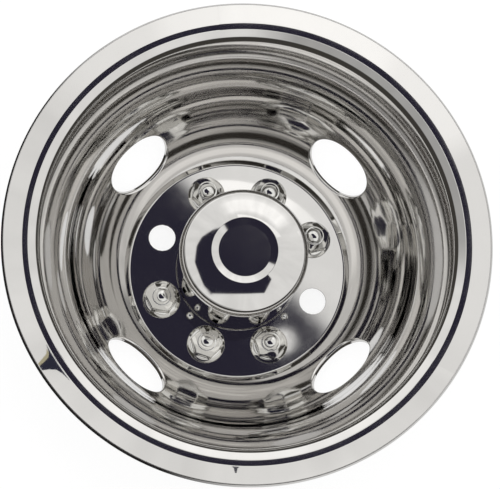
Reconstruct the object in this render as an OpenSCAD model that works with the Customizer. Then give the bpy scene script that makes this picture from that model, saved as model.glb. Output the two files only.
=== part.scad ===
// Wheel simulator for the outer wheel of a dual-wheel truck axle: a deep dish drawn from
// stainless sheet, a drawn hub cap riveted to it from behind, and six false lug nut covers,
// each pulled down by a screw and washer. Two of the eight lug places stay open for the
// wheel's own studs. It lies on its back, with the wheel's axis on Z and the lip on top.

/* [Sheet] */
// Thickness of the dish's sheet
sheet_t = 1.0; // [0.8:0.1:1.3]

/* [Lip] */
// Outer diameter of the rolled lip
lip_dia = 441; // [432:1:452]
// Length of the lip's sloping face
lip_face = 16.2; // [14:0.2:20]
// Slope of the lip's face, in degrees
lip_slope = 24; // [16:1:32]
// Radius of the roll at the lip's edge
roll_r = 2.4; // [2:0.1:3.2]
// Angle that the roll turns through, in degrees
roll_turn = 200; // [170:5:230]
// Radius at the foot of the lip's face
lip_foot_r = 1.6; // [1.2:0.1:2.4]

/* [Seat and throat] */
// Width of the nearly flat seat inside the lip
seat_w = 5.4; // [4:0.2:8]
// Mean slope of the seat, in degrees
seat_slope = 4.5; // [2:0.5:8]
// Radius of the seat's crown
seat_crown_r = 48; // [30:2:80]
// Radius at the seat's inner edge
seat_r = 2.5; // [1.5:0.1:4]
// Width of the sloping throat inside the seat
throat_w = 8.2; // [6:0.2:11]
// Slope of the throat, in degrees
throat_slope = 29; // [24:1:36]
// Radius where the throat meets the flared barrel
throat_r = 13; // [6:1:16]

/* [Barrel] */
// Height of the foot of the lip above the face of the centre plate
dish_depth = 161.8; // [150:0.2:175]
// Angle of the barrel's neck from the wheel's axis, in degrees
neck_angle = 3; // [0:0.5:8]
// Height at which the lines of the hand hole band and the neck meet
band_h = 54; // [48:1:60]
// Angle of the hand hole band from the wheel's axis, in degrees
band_angle = 33.2; // [30:0.2:36]
// Radius where the band meets the neck
band_top_r = 101; // [75:1:130]
// Radius where the band meets the sloping foot
band_foot_r = 72; // [40:2:90]

/* [Centre plate] */
// Width of plate left between the nut covers and the step
plate_margin = 7.65; // [5:0.05:10]
// Height of the step round the plate
step_h = 3.6; // [2.4:0.1:5]
// Width of that step
step_lean = 4.3; // [3:0.1:6]
// Radius of the step's bends
step_r = 3.5; // [1.5:0.1:4.5]
// Width of the sloping foot, from the step to the line of the band
foot_w = 20.8; // [18:0.2:25]
// Slope of the foot, in degrees
foot_slope = 21.5; // [14:0.5:28]

/* [Hand holes] */
// Number of hand holes
hand_holes = 4; // [3:1:5]
// Length of a hand hole round the wheel
hand_l = 69.5; // [60:0.5:73]
// Width of a hand hole along the slope
hand_w = 48.4; // [42:0.2:52]
// Height of a hand hole's centre above the plate's face
hand_z = 26.8; // [25:0.2:29]
// Squareness of the oval: 2 is an ellipse
hand_power = 2.2; // [2:0.1:3]
// Depth of the edge that is turned back round a hand hole
hand_edge = 3.2; // [2.4:0.2:5]

/* [Lugs] */
// Diameter of the bolt circle
bolt_circle = 165.1; // [163:0.1:167]
// Diameter of the two open holes for the wheel's studs
stud_hole_dia = 26.6; // [22:0.2:28]

/* [Hub cap] */
// Gap between the cap's barrel and the nut covers' flanges
cap_nut_gap = 2.25; // [1:0.05:4]
// Thickness of the cap's sheet
cap_t = 1.0; // [0.8:0.1:1.3]
// Height of the cap's crown, drawn on to the axis, above the plate's face
cap_h = 107.2; // [90:0.2:118]
// Radius of the cap's domed face
dome_r = 170; // [140:5:220]
// Radius of the cap's shoulder
cap_shoulder_r = 9; // [6:0.5:11]
// Diameter of the sunk centre of the cap, at its rim
sink_dia = 62.8; // [54:0.2:70]
// Width of the sloping ring round the sunk centre
sink_ring = 6.6; // [5:0.2:9]
// Radius of that ring's bends
sink_bend_r = 1.2; // [0.8:0.1:2]
// Depth of the sunk centre
sink_depth = 1.7; // [1.2:0.1:2.4]
// Clearance between the cap's bend and the hole that it comes through
cap_gap = 0.25; // [0.15:0.05:0.5]
// Width of the cap's flange behind the plate
cap_flange = 6.2; // [5.6:0.1:6.8]
// Radius of the bend between the cap's barrel and its flange
cap_bend_r = 0.8; // [0.5:0.1:1.1]

/* [Rivets] */
// Number of rivets through the cap's flange
rivets = 4; // [4:4:8]
// Diameter of a rivet's body
rivet_dia = 4; // [3.2:0.2:4.4]
// Diameter of a rivet's domed head
rivet_head_dia = 7.6; // [6.6:0.2:8]
// Height of a rivet's domed head
rivet_head_h = 1.7; // [1.2:0.1:2.2]
// Diameter of a rivet's upset tail
rivet_tail_dia = 6.4; // [5.6:0.2:7]
// Height of a rivet's upset tail
rivet_tail_h = 1.4; // [1:0.1:1.8]
// Radius of the flange's ear round a rivet
ear_r = 6; // [5:0.2:6.6]
// How far an ear reaches over the edge of the cap's barrel
ear_overlap = 0.5; // [0.2:0.1:1]
// Clearance round a rivet's body
rivet_gap = 0.1; // [0.05:0.05:0.2]

/* [Nut covers] */
// Width of a nut cover's hexagon across its flats
nut_af = 27; // [25:0.2:29]
// Diameter of a nut cover's flange
nut_flange_dia = 37.6; // [35:0.2:40]
// Thickness of the flange's rim
nut_rim_h = 2.2; // [1.6:0.1:3]
// Height at which the hexagon rises from the flange
nut_foot_h = 4.4; // [3.6:0.1:5.4]
// How far the top of the flange lies inside the hexagon's corners
nut_foot_inset = 0.4; // [0.1:0.1:0.8]
// Height of the hexagon's corners, below the chamfer
nut_hex_h = 17.6; // [14:0.2:20]
// Height of the nut cover's flat top
nut_top_h = 22.4; // [21:0.2:25]
// Width of the flat shoulder round the dome
nut_shoulder = 0.8; // [0.4:0.1:1.4]
// Diameter of the dome on the flat top
nut_dome_dia = 16.8; // [14:0.2:18]
// Radius of that dome
nut_dome_r = 12.5; // [11:0.5:16]
// Wall of a nut cover
nut_wall = 1.3; // [1:0.1:1.8]
// Diameter of the boss inside a nut cover
boss_dia = 11; // [10:0.2:13]

/* [Screws and washers] */
// Diameter of a retaining screw
screw_dia = 5; // [4:0.5:6]
// Length of a screw under its head
screw_l = 14; // [10:1:17]
// Width of a screw's hexagon across its flats
screw_af = 8; // [7:0.5:10]
// Height of a screw's hexagon
screw_hex_h = 3.4; // [2.6:0.1:4.5]
// Diameter of the collar under a screw's hexagon
screw_collar_dia = 11; // [10:0.5:13]
// Thickness of that collar
screw_collar_h = 1.2; // [0.8:0.1:1.6]
// Diameter of a washer
washer_dia = 15; // [12:0.5:17]
// Thickness of a washer
washer_t = 1.2; // [0.8:0.1:1.6]
// Clearance of the holes round a screw
screw_gap = 0.3; // [0.2:0.1:0.6]
// Clearance of the thread in the boss round a screw
thread_gap = 0.05; // [0.03:0.01:0.1]
// Depth of thread left free above the end of a screw
thread_spare = 1.5; // [0.5:0.5:3]

/* [Hidden] */
$fn = 96;
lugs = 8;
covers = lugs - 2;

// Lug places by number, counted round from the first one below the X axis; 3 and 7 stay open
lug_step = 360 / lugs;
cover_lugs = [0, 1, 2, 4, 5, 6];
stud_lugs = [3, 7];
function lug_angle(n) = -lug_step / 2 + lug_step * n;

// The turn at which each nut cover was tightened, as the direction of one of its corners
nut_turn = [30, 15, -27, 11, -1, 3];

// The plate's face stands on the screws' heads
plate_back = screw_hex_h + screw_collar_h + washer_t;
plate_z = plate_back + sheet_t;
screw_reach = screw_l - washer_t - sheet_t;

steel = [0.80, 0.79, 0.78];
zinc = [0.66, 0.66, 0.64];
bend_step = 9;
dome_step = 1.5;
flare_step = 4;
leg_share = 0.97;
tail_share = 0.3;
nut_rim_turn = 60;
hex_half = 30;
right_angle = 90;
half_turn = 180;
cut = 1;

// Sizes that follow from the bolt circle, so that the cap and the plate keep clear of the nuts
cap_dia = bolt_circle - nut_flange_dia - 2 * cap_nut_gap;
plate_dia = bolt_circle + nut_flange_dia + 2 * plate_margin;

// Points of an arc round c, from one angle to another
function arc(c, r, from, to, step = bend_step) =
    let (n = max(2, ceil(abs(to - from) / step)))
    [for (i = [0:n]) let (a = from + (to - from) * i / n) c + r * [cos(a), sin(a)]];

function unit(v) = v / norm(v);
function right_of(v) = [v.y, -v.x];
function heading(v) = atan2(v.y, v.x);

function spot(p) = [p.x, p.y];
function leg(path, i) = spot(path[i + 1]) - spot(path[i]);

// Angle that a path turns through at point i, to the left if positive
function turn_at(path, i) =
    let (u = leg(path, i - 1), v = leg(path, i))
    atan2(u.x * v.y - u.y * v.x, u * v);

// Length that the bend at point i would take up of each of its legs
function wanted(path, i) =
    i <= 0 || i >= len(path) - 1 || path[i].z == 0
        ? 0
        : path[i].z * tan(abs(turn_at(path, i)) / 2);

// Length of a leg left to point i when its neighbour at j has a bend too
function allowed(path, i, j) =
    leg_share * norm(spot(path[i]) - spot(path[j]))
        * wanted(path, i) / (wanted(path, i) + wanted(path, j));

// The bend at point i, smaller than its radius where its legs are short
function bend(path, i) =
    let (u = unit(leg(path, i - 1)),
         turn = turn_at(path, i),
         reach = min(wanted(path, i), allowed(path, i, i - 1), allowed(path, i, i + 1)),
         r = reach / tan(abs(turn) / 2),
         side = sign(turn),
         centre = spot(path[i]) - u * reach - side * r * right_of(u),
         start = heading(u) - right_angle * side)
    arc(centre, r, start, start + turn);

// A path of [x, y, bend radius] corners with its bends rounded
function bent(path) = [
    for (i = [0:len(path) - 1])
        if (wanted(path, i) == 0) spot(path[i])
        else each bend(path, i)
];

// The same path moved to its right by d, mitred so that every leg keeps its distance
function moved(path, d) = [
    for (i = [0:len(path) - 1])
        let (u = i == 0 ? unit(path[1] - path[0]) : unit(path[i] - path[i - 1]),
             v = i == len(path) - 1 ? u : unit(path[i + 1] - path[i]),
             n = unit(right_of(u) + right_of(v)))
        path[i] + n * d / (n * right_of(u))
];

function backwards(path) = [for (i = [len(path) - 1:-1:0]) path[i]];

// Outline of a sheet of thickness t that lies to the right of its visible face
function sheet(face, t) = concat(face, backwards(moved(face, t)));

// Outer edge of the dish: the roll, and the foot of the lip's sloping face
roll_x = lip_dia / 2 - roll_r;
lip_run = lip_face * [cos(lip_slope), sin(lip_slope)];
roll_start = roll_r * [-sin(lip_slope), cos(lip_slope)];
lip_foot = [roll_x + roll_start.x - lip_run.x, dish_depth];
roll_centre = lip_foot + lip_run - roll_start;

// Seat and throat, from the lip inwards
crown_turn = seat_w / 2 / seat_crown_r * half_turn / PI;
seat_crest = lip_foot - seat_w / 2 * [1, tan(seat_slope - crown_turn)];
seat_edge = seat_crest - seat_w / 2 * [1, tan(seat_slope + crown_turn)];
throat = seat_edge - throat_w * [1, tan(throat_slope)];

// Step, foot and hand hole band, from the plate outwards
hub_hole_r = cap_dia / 2 + cap_bend_r + cap_gap;
step_in = plate_dia / 2;
step_out = step_in + step_lean;
band_foot = [step_out + foot_w, step_h + foot_w * tan(foot_slope)];
band_top = band_foot + (band_h - band_foot.y) * [tan(band_angle), 1];

// Barrel that flares in one arc from the end of the neck's bend to the throat
neck_rise = band_top_r * tan((band_angle - neck_angle) / 2);
neck = band_top + neck_rise * [sin(neck_angle), cos(neck_angle)];
chord = throat - neck;
bow = atan2(chord.x, chord.y) - neck_angle;
flare_r = norm(chord) / 2 / sin(bow);
flare_centre = neck + flare_r * [cos(neck_angle), -sin(neck_angle)];
flare = arc(flare_centre, flare_r, half_turn - neck_angle, half_turn - neck_angle - 2 * bow, flare_step);

liner_corners = [
    [hub_hole_r, 0, 0],
    [step_in, 0, step_r],
    [step_out, step_h, step_r],
    [band_foot.x, band_foot.y, band_foot_r],
    [band_top.x, band_top.y, band_top_r],
    for (i = [0:len(flare) - 2]) [flare[i].x, flare[i].y, 0],
    [throat.x, throat.y, throat_r],
    [seat_edge.x, seat_edge.y, seat_r],
    [seat_crest.x, seat_crest.y, seat_crown_r],
    [lip_foot.x, lip_foot.y, lip_foot_r],
    [lip_foot.x + lip_run.x, lip_foot.y + lip_run.y, 0]
];
roll_face = arc(roll_centre, roll_r, right_angle + lip_slope, right_angle + lip_slope - roll_turn);
liner_face = concat(bent(liner_corners), [for (i = [1:len(roll_face) - 1]) roll_face[i]]);

// Part of the dish's face that a hand hole is pierced through, with room on both sides
band_face = bent([for (i = [2:7]) liner_corners[i]]);

// Face of the hub cap from its centre out to the edge of its flange
cap_r = cap_dia / 2;
dome_centre = [0, cap_h - dome_r];
sink_r = sink_dia / 2;
sink_rim = dome_centre.y + sqrt(dome_r ^ 2 - sink_r ^ 2);
dome_face = arc(dome_centre, dome_r, acos(sink_r / dome_r),
    acos((cap_r - cap_shoulder_r) / dome_r), dome_step);
dome_edge = dome_face[len(dome_face) - 1];
dome_fall = (dome_edge.x - dome_centre.x) / (dome_edge.y - dome_centre.y);
cap_face = bent([
    [0, sink_rim - sink_depth, 0],
    [sink_r - sink_ring, sink_rim - sink_depth, sink_bend_r],
    [sink_r, sink_rim, sink_bend_r],
    for (i = [1:len(dome_face) - 1]) [dome_face[i].x, dome_face[i].y, 0],
    [cap_r, dome_edge.y - cap_shoulder_r * dome_fall, cap_shoulder_r],
    [cap_r, -sheet_t, cap_bend_r],
    [cap_r + cap_flange, -sheet_t, 0]
]);

// Rivets go through the middle of the ears of the cap's flange
rivet_circle = cap_r + ear_r - ear_overlap;
function rivet_angle(n) = 360 / rivets * (n - 1);

module on_plate() {
    translate([0, 0, plate_z]) children();
}

module at_lug(n) {
    rotate(lug_angle(n)) translate([bolt_circle / 2, 0, 0]) children();
}

module round_the_axis(outline) {
    rotate_extrude($fn = 180) polygon(outline);
}

// Oval of a hand hole, grown by d
module hand_oval(d) {
    steps = 48;
    power = 2 / hand_power;
    polygon([
        for (i = [0:steps - 1])
            let (a = 360 * i / steps, c = cos(a), s = sin(a))
            [(hand_w / 2 + d) * sign(c) * abs(c) ^ power, (hand_l / 2 + d) * sign(s) * abs(s) ^ power]
    ]);
}

// A straight prism through the sloping band at each hand hole, square to the slope
module hand_prisms(d) {
    reach = 20;
    for (n = [0:hand_holes - 1])
        rotate(360 / hand_holes * n)
            translate([band_foot.x + (hand_z - band_foot.y) * tan(band_angle), 0, hand_z])
                rotate([0, band_angle - right_angle, 0])
                    translate([0, 0, -reach])
                        linear_extrude(2 * reach) hand_oval(d);
}

module wheel_liner() {
    color(steel) on_plate() difference() {
        union() {
            round_the_axis(sheet(liner_face, sheet_t));
            intersection() {
                round_the_axis(sheet(moved(band_face, sheet_t / 2), hand_edge + sheet_t / 2));
                hand_prisms(sheet_t);
            }
        }
        hand_prisms(0);
        for (n = stud_lugs)
            at_lug(n) translate([0, 0, -sheet_t - cut])
                cylinder(d = stud_hole_dia, h = sheet_t + 2 * cut);
        for (n = cover_lugs)
            at_lug(n) translate([0, 0, -sheet_t - cut])
                cylinder(d = screw_dia + 2 * screw_gap, h = sheet_t + 2 * cut);
        rivet_holes(sheet_t);
    }
}

// Holes for the rivets, from below a sheet of thickness t to above it
module rivet_holes(t) {
    for (n = [1:rivets])
        rotate(rivet_angle(n)) translate([rivet_circle, 0, -t - cut])
            cylinder(d = rivet_dia + 2 * rivet_gap, h = t + 2 * cut, $fn = 32);
}

module hub_cap() {
    color(steel) on_plate() difference() {
        union() {
            round_the_axis(sheet(cap_face, cap_t));
            for (n = [1:rivets])
                rotate(rivet_angle(n)) translate([rivet_circle, 0, -sheet_t - cap_t])
                    cylinder(r = ear_r, h = cap_t);
        }
        translate([0, 0, -sheet_t]) rivet_holes(cap_t);
    }
}

module cap_rivet(n) {
    grip = sheet_t + cap_t;
    head_r = rivet_head_dia / 2;
    ball_r = (head_r ^ 2 + rivet_head_h ^ 2) / (2 * rivet_head_h);
    rim = asin(head_r / ball_r);
    head = arc([0, rivet_head_h - ball_r], ball_r, right_angle, right_angle - rim);
    color(zinc) on_plate() rotate(rivet_angle(n)) translate([rivet_circle, 0, 0])
        rotate_extrude($fn = 48) polygon(concat(head, [
            [rivet_dia / 2, 0],
            [rivet_dia / 2, -grip],
            [rivet_tail_dia / 2, -grip],
            [rivet_tail_dia / 2, -grip - rivet_tail_h * (1 - tail_share)],
            [rivet_tail_dia / 2 - rivet_tail_h * tail_share, -grip - rivet_tail_h],
            [0, -grip - rivet_tail_h]
        ]));
}

// Solid of a nut cover whose walls lie inset by d
module nut_solid(d) {
    flange_r = nut_flange_dia / 2 - d;
    rim_r = nut_rim_h / 2;
    hex_r = nut_af / 2 / cos(hex_half);
    rotate_extrude($fn = 96) polygon(concat(
        [[0, 0]],
        arc([flange_r - rim_r, rim_r], rim_r, -right_angle, nut_rim_turn),
        [[hex_r - d - nut_foot_inset, nut_foot_h - d], [0, nut_foot_h - d]]
    ));
    intersection() {
        cylinder(r = hex_r - d / cos(hex_half), h = nut_top_h - d, $fn = 6);
        rotate_extrude($fn = 96) polygon([
            [0, 0],
            [hex_r, 0],
            [hex_r, nut_hex_h - d],
            [nut_dome_dia / 2 + nut_shoulder - d / 2, nut_top_h - d],
            [0, nut_top_h - d]
        ]);
    }
}

module nut_cover(i) {
    dome_low = sqrt(nut_dome_r ^ 2 - (nut_dome_dia / 2) ^ 2);
    rim = acos(dome_low / nut_dome_r);
    n = cover_lugs[i - 1];
    color(steel) on_plate() at_lug(n) rotate(nut_turn[i - 1] - lug_angle(n)) difference() {
        union() {
            difference() {
                nut_solid(0);
                translate([0, 0, -nut_wall]) nut_solid(nut_wall);
            }
            translate([0, 0, nut_top_h]) rotate_extrude($fn = 96) polygon(concat(
                [[0, -nut_wall / 2], [nut_dome_dia / 2, -nut_wall / 2]],
                arc([0, -dome_low], nut_dome_r, right_angle - rim, right_angle)
            ));
            cylinder(d = boss_dia, h = nut_top_h - nut_wall / 2);
        }
        translate([0, 0, -cut])
            cylinder(d = screw_dia + 2 * thread_gap, h = screw_reach + thread_spare + cut, $fn = 48);
    }
}

module cover_washer(i) {
    color(zinc) at_lug(cover_lugs[i - 1]) translate([0, 0, plate_back - washer_t])
        difference() {
            cylinder(d = washer_dia, h = washer_t, $fn = 64);
            translate([0, 0, -cut])
                cylinder(d = screw_dia + 2 * screw_gap, h = washer_t + 2 * cut, $fn = 48);
        }
}

module cover_screw(i) {
    color(zinc) at_lug(cover_lugs[i - 1]) {
        cylinder(r = screw_af / 2 / cos(hex_half), h = screw_hex_h, $fn = 6);
        translate([0, 0, screw_hex_h])
            cylinder(d = screw_collar_dia, h = screw_collar_h, $fn = 64);
        translate([0, 0, screw_hex_h + screw_collar_h / 2])
            cylinder(d = screw_dia, h = screw_l + screw_collar_h / 2, $fn = 48);
    }
}

wheel_liner();
hub_cap();
for (n = [1:rivets])
    cap_rivet(n);
for (i = [1:covers])
    nut_cover(i);
for (i = [1:covers])
    cover_washer(i);
for (i = [1:covers])
    cover_screw(i);
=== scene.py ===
import math

import bpy
import numpy as np
from mathutils import Matrix, Vector


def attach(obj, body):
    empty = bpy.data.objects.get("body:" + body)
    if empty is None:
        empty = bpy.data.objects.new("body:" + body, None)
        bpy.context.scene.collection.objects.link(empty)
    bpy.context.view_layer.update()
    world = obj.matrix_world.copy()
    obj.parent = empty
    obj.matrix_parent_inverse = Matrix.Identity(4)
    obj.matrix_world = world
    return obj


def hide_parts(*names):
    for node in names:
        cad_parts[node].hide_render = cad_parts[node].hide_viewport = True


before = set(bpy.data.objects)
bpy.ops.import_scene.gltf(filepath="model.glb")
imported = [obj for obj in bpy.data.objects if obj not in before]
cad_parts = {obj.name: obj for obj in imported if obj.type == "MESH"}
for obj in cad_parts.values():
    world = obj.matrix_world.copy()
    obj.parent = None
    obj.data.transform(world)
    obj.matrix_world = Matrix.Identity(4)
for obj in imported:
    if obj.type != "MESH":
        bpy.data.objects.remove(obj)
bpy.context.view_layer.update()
MM = 0.001

# Sizes of the sheet parts in millimetres, as the CAD source has them
SHEET = 1.0
PLATE_Z = 6.8
LIP_DIA, LIP_FACE, LIP_SLOPE = 441.0, 16.2, 24.0
ROLL_R, ROLL_TURN = 2.4, 200.0
SEAT_W, SEAT_SLOPE, SEAT_R, LIP_FOOT_R = 5.4, 4.5, 2.5, 1.6
THROAT_W, THROAT_SLOPE, THROAT_R = 8.2, 29.0, 13.0
DISH_DEPTH, NECK_ANGLE, LEG_SHARE = 161.8, 3.0, 0.97
BAND_H, BAND_ANGLE, BAND_TOP_R, BAND_FOOT_R = 54.0, 33.2, 101.0, 72.0
PLATE_DIA, STEP_H, STEP_LEAN, STEP_R = 218.0, 3.6, 4.3, 3.5
FOOT_W, FOOT_SLOPE = 20.8, 21.5
HAND_L, HAND_W, HAND_Z, HAND_POWER, HAND_EDGE = 69.5, 48.4, 26.8, 2.2, 3.2
HAND_AZIMUTHS = (0.0, 90.0, 180.0, 270.0)
BOLT_CIRCLE, STUD_HOLE_DIA = 165.1, 26.6
STUD_AZIMUTHS = (112.5, 292.5)
CAP_DIA, CAP_T, CAP_H, DOME_R, CAP_SHOULDER_R = 123.0, 1.0, 107.2, 170.0, 9.0
SINK_DIA, SINK_RING, SINK_DEPTH = 62.8, 6.6, 1.7
CAP_GAP, CAP_FLANGE, CAP_BEND_R = 0.25, 6.2, 0.8
EAR_R, EAR_INSET, EAR_AZIMUTHS = 6.0, 0.5, (0.0, 90.0, 180.0, 270.0)
NUT_AF, NUT_FLANGE_DIA, NUT_RIM_H, NUT_FOOT_H = 27.0, 37.6, 2.2, 4.4
NUT_HEX_H, NUT_TOP_H, NUT_DOME_DIA, NUT_DOME_R = 17.6, 22.4, 16.8, 12.5
NUT_AZIMUTHS = (-22.5, 22.5, 67.5, 157.5, 202.5, 247.5)
NUT_TURNS = (30.0, 15.0, -27.0, 11.0, -1.0, 3.0)

# Finish of the meshes: columns round the axis, degrees of an arc and millimetres between rows
COLUMNS = 288
ARC_STEP, EDGE_STEP, FLARE_STEP, DOME_STEP = 6.0, 12.0, 1.5, 0.75
LEG_STEP = 7.0
HAND_ROLL = 1.7
STUD_ROLL = 0.35
SHEET_EASE = 0.3
SINK_BEND_R = 1.2 * CAP_T
DOME_START = 2

# The seat is flatter than the solid's, and the lip ends in a small crest and a steep skirt
SEAT_CROWN_R = 400.0
CREST_R, SKIRT_R, UNDER_R = 0.8, 6.0, 2.4
CREST_END, SKIRT_END = 48.0, 0.0

# The shading normals of the pressed seat and of the cap's sunk disc lean towards this azimuth
PRESS_LEAN, PRESS_AZIMUTH = math.radians(0.75), math.radians(177.0)
SEAT_SPAN, SEAT_LOW = (197.3, 202.2), DISH_DEPTH - 2
DISC_R = SINK_DIA / 2 - SINK_RING + 0.2

# Rows, as radius and height, and half angles of the parts of the face round the holes
HAND_SPAN, HAND_WINDOW = ((118, 0.2), (150, 58)), 21.25
STUD_SPAN, STUD_WINDOW = (62.6, 96), 11.25

# Corners of the dish's face by their place in its list
BAND_FOOT_AT, LIP_FOOT_AT = 3, -2

# Nut covers: steps round, corner radius, hollow's sizes, fillets and eased edges
NUT_COLUMNS, NUT_CORNER_R = 144, 1.3
NUT_CROWN_T, NUT_WALL_T, NUT_HEX_T, NUT_FOOT_T = 1.6, 1.3, 1.0, 1.3
NUT_CONE_IN, NUT_CONE_SHARE, NUT_FILLET = 0.4, 0.45, 0.9
NUT_EASE, NUT_SHOULDER_OUT, NUT_SHOULDER_EASE = 0.6, 0.8, 0.5


# Camera: the photograph's, solved from the rings and the lug places. The wheel's axis leans from
# the line of sight by TILT towards LEAN, counted anticlockwise from the picture's right.
PHOTO_W, PHOTO_H = 500, 489
TILT, LEAN, ROLL = math.radians(12.07), math.radians(67.93), math.radians(-0.37)
DISTANCE, FOCAL_PX = 1385.23, 1369.21
CENTRE_U, CENTRE_V = 237.33, 269.49
MODEL_TURN = math.radians(-45.0)
SENSOR = 36.0


def leaned(angle):
    """The direction at an angle from the line of sight towards the wheel's lean."""
    aside = math.sin(angle)
    return Vector((aside * math.cos(LEAN), aside * math.sin(LEAN), math.cos(angle)))


def photo_axes():
    """The picture's right, up and backward directions in the model's frame, as a 3 by 3 matrix."""
    axis = leaned(TILT)
    lean = Vector((0, 0, 1)).rotation_difference(axis).to_matrix()
    wheel_to_photo = lean @ Matrix.Rotation(ROLL, 3, "Z")
    return Matrix.Rotation(MODEL_TURN, 3, "Z") @ wheel_to_photo.transposed()


def make_camera(axes):
    data = bpy.data.cameras.new("photo_camera")
    data.sensor_width = SENSOR
    data.lens = FOCAL_PX * SENSOR / PHOTO_W
    data.clip_end = 20
    camera = bpy.data.objects.new("photo_camera", data)
    aside = (CENTRE_U - PHOTO_W / 2) * DISTANCE / FOCAL_PX
    above = -(CENTRE_V - PHOTO_H / 2) * DISTANCE / FOCAL_PX
    place = axes @ Vector((-aside, -above, DISTANCE)) * MM + Vector((0, 0, PLATE_Z * MM))
    camera.matrix_world = Matrix.Translation(place) @ axes.to_4x4()
    bpy.context.scene.collection.objects.link(camera)
    bpy.context.scene.camera = camera
    return camera


# Profiles: rows of (radius, height, normal's radial part, normal's upright part), which run
# outwards with the visible face on their left
def arc_rows(centre, r, start, end, step=ARC_STEP):
    n = max(2, math.ceil(abs(end - start) / step))
    side = -1 if end > start else 1
    rows = []
    for i in range(n + 1):
        a = math.radians(start + (end - start) * i / n)
        c, s = math.cos(a), math.sin(a)
        rows.append((centre[0] + r * c, centre[1] + r * s, side * c, side * s))
    return rows


def turn_at(points, i):
    """Angle that the path turns through at point i, to the left if positive."""
    u, v = points[i] - points[i - 1], points[i + 1] - points[i]
    return math.degrees(math.atan2(u[0] * v[1] - u[1] * v[0], u @ v))


def wanted_reach(points, bends, i):
    """Length of leg that the bend at point i takes up on each side."""
    if i <= 0 or i >= len(points) - 1 or bends[i] == 0:
        return 0.0
    return bends[i] * math.tan(math.radians(abs(turn_at(points, i))) / 2)


def profile(corners):
    """Rows of a path of (radius, height, bend radius) corners. Two bends that want more than the
    leg between them share it."""
    points = [np.array(c[:2], float) for c in corners]
    bends = [c[2] for c in corners]
    want = [wanted_reach(points, bends, i) for i in range(len(points))]
    rows = []
    for i, here in enumerate(points):
        before = here - points[i - 1] if i else points[1] - here
        after = points[i + 1] - here if i < len(points) - 1 else before
        u, v = before / np.linalg.norm(before), after / np.linalg.norm(after)
        if want[i] == 0:
            along = (u + v) / np.linalg.norm(u + v)
            rows.append((here[0], here[1], -along[1], along[0]))
            continue
        reach = min(want[i],
            LEG_SHARE * np.linalg.norm(before) * want[i] / (want[i] + want[i - 1]),
            LEG_SHARE * np.linalg.norm(after) * want[i] / (want[i] + want[i + 1]))
        turn = turn_at(points, i)
        side = 1 if turn > 0 else -1
        r = reach / math.tan(math.radians(abs(turn)) / 2)
        centre = here - u * reach - side * r * np.array((u[1], -u[0]))
        start = math.degrees(math.atan2(u[1], u[0])) - 90 * side
        rows += arc_rows(centre, r, start, start + turn)
    return rows


def refined(rows):
    """The same rows with more of them where two neighbours lie far apart."""
    out = [rows[0]]
    for a, b in zip(rows, rows[1:]):
        n = max(1, math.ceil(math.hypot(b[0] - a[0], b[1] - a[1]) / LEG_STEP))
        for i in range(1, n + 1):
            out.append(tuple(p + (q - p) * i / n for p, q in zip(a, b)))
    return out


def liner_corners():
    """Corners of the dish's face from the hub hole out to the lip's outer end."""
    slope = math.radians(LIP_SLOPE)
    run = np.array((LIP_FACE * math.cos(slope), LIP_FACE * math.sin(slope)))
    foot = np.array((LIP_DIA / 2 - ROLL_R - ROLL_R * math.sin(slope) - run[0], DISH_DEPTH))
    crown = math.degrees(SEAT_W / 2 / SEAT_CROWN_R)
    crest = foot - SEAT_W / 2 * np.array((1, math.tan(math.radians(SEAT_SLOPE - crown))))
    seat = crest - SEAT_W / 2 * np.array((1, math.tan(math.radians(SEAT_SLOPE + crown))))
    throat = seat - THROAT_W * np.array((1, math.tan(math.radians(THROAT_SLOPE))))
    step_in = PLATE_DIA / 2
    step_out = step_in + STEP_LEAN
    band_foot = np.array((step_out + FOOT_W, STEP_H + FOOT_W * math.tan(math.radians(FOOT_SLOPE))))
    lean, neck_lean = math.radians(BAND_ANGLE), math.radians(NECK_ANGLE)
    band_top = band_foot + (BAND_H - band_foot[1]) * np.array((math.tan(lean), 1))
    rise = BAND_TOP_R * math.tan((lean - neck_lean) / 2)
    neck = band_top + rise * np.array((math.sin(neck_lean), math.cos(neck_lean)))
    chord = throat - neck
    bow = math.atan2(chord[0], chord[1]) - neck_lean
    flare_r = np.linalg.norm(chord) / 2 / math.sin(bow)
    centre = neck + flare_r * np.array((math.cos(neck_lean), -math.sin(neck_lean)))
    start = 180 - NECK_ANGLE
    flare = arc_rows(centre, flare_r, start, start - math.degrees(2 * bow), FLARE_STEP)
    return [
        (CAP_DIA / 2 + CAP_BEND_R + CAP_GAP, 0, 0),
        (step_in, 0, STEP_R),
        (step_out, STEP_H, STEP_R),
        (*band_foot, BAND_FOOT_R),
        (*band_top, BAND_TOP_R),
        *[(row[0], row[1], 0) for row in flare[:-1]],
        (*throat, THROAT_R),
        (*seat, SEAT_R),
        (*crest, SEAT_CROWN_R),
        (*foot, LIP_FOOT_R),
        (*(foot + run), 0),
    ]


def lip_edge(foot):
    """Rows of the lip's crest, of its steep skirt and of the edge turned under."""
    slope, end = math.radians(LIP_SLOPE), math.radians(CREST_END)
    skirt_x = LIP_DIA / 2 - SKIRT_R
    crest_x = skirt_x + (SKIRT_R - CREST_R) * math.cos(end)
    start = crest_x - CREST_R * math.sin(slope)
    crest_z = foot[1] + (start - foot[0]) * math.tan(slope) - CREST_R * math.cos(slope)
    skirt_z = crest_z - (SKIRT_R - CREST_R) * math.sin(end)
    under = LIP_DIA / 2 - UNDER_R, skirt_z
    return (arc_rows((crest_x, crest_z), CREST_R, 90 + LIP_SLOPE, CREST_END, EDGE_STEP)
        + arc_rows((skirt_x, skirt_z), SKIRT_R, CREST_END, SKIRT_END)[1:]
        + arc_rows(under, UNDER_R, SKIRT_END, 90 + LIP_SLOPE - ROLL_TURN, EDGE_STEP)[1:])


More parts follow.
